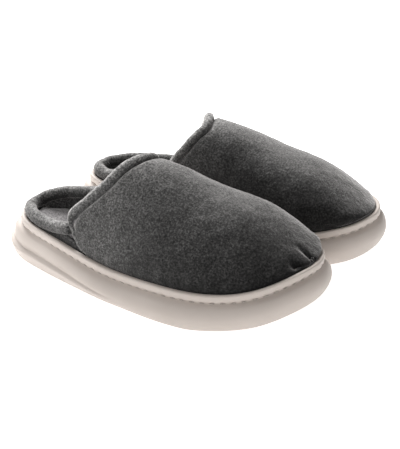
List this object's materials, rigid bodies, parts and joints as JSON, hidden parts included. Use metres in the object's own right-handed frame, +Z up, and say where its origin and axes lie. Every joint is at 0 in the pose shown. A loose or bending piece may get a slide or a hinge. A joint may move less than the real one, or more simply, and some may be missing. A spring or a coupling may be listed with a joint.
{
  "type": "pair of spa slippers",
  "caption": "Pair of closed-toe mule slippers: moulded foam cup soles, padded grey felt vamps with a rolled hem, low padded heel collars.",
  "frame": {"origin": "on the floor, at the middle of the pair's box", "axes": "+Z up, +Y towards the toes, +X towards the outer side of the right slipper"},
  "size_m": [0.2434, 0.2848, 0.1016],
  "materials": {
    "foam_sole": "smooth satin moulded foam",
    "felt": "heathered grey brushed felt",
    "lining": "dark brushed lining",
    "fleece": "short grey fleece",
    "padding": "soft open-cell foam",
    "board": "pressed fibre board",
    "thread": "twisted polyester thread"
  },
  "bodies": {
    "right_slipper": {"right_outsole": "foam_sole", "right_sole_thread": "thread", "right_insole_board": "board", "right_footbed_foam": "padding", "right_footbed_cover": "fleece", "right_vamp_felt": "felt", "right_vamp_padding": "padding", "right_vamp_lining": "lining", "right_throat_hem": "felt", "right_heel_strip": "felt", "right_heel_collar": "felt", "right_collar_foam": "padding"},
    "left_slipper": {"left_outsole": "foam_sole", "left_sole_thread": "thread", "left_insole_board": "board", "left_footbed_foam": "padding", "left_footbed_cover": "fleece", "left_vamp_felt": "felt", "left_vamp_padding": "padding", "left_vamp_lining": "lining", "left_throat_hem": "felt", "left_heel_strip": "felt", "left_heel_collar": "felt", "left_collar_foam": "padding"}
  },
  "joints": [
    {"name": "left_slipper_lift", "type": "slide", "parent": "right_slipper", "child": "left_slipper", "axis": [0, 0, 1], "range_m": [0, 0.15]}
  ]
}
